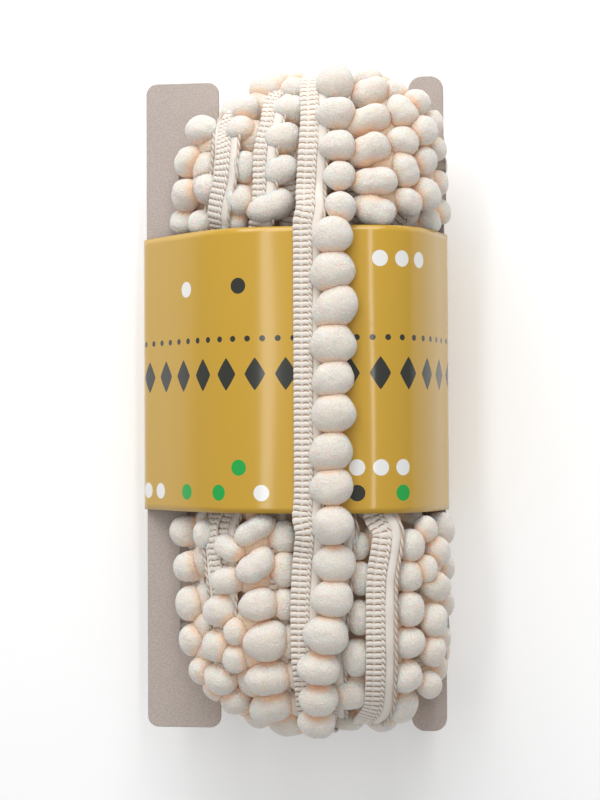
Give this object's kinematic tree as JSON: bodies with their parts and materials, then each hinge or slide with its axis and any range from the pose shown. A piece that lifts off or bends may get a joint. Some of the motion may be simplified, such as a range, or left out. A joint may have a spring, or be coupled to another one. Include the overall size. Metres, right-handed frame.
{
  "type": "pompom fringe trim wound on a card",
  "caption": "Length of braided heading with a fringe of soft pompoms, wound lengthwise round a notched card and held by a paper band.",
  "frame": {"origin": "on the surface under the middle of the card, in the flat back of the band", "axes": "+X across the card, +Y along the card and the winding, +Z out of the front"},
  "size_m": [0.1278, 0.2888, 0.0941],
  "materials": {
    "card": "bare greyboard",
    "trim": "soft cream pompoms on a braided heading",
    "band": "satin gold paper",
    "last_turn": "soft cream pompoms on a braided heading"
  },
  "bodies": {
    "root": {"card": "card", "wound_trim": "trim", "paper_band": "band", "outer_turn": "last_turn"}
  },
  "joints": []
}
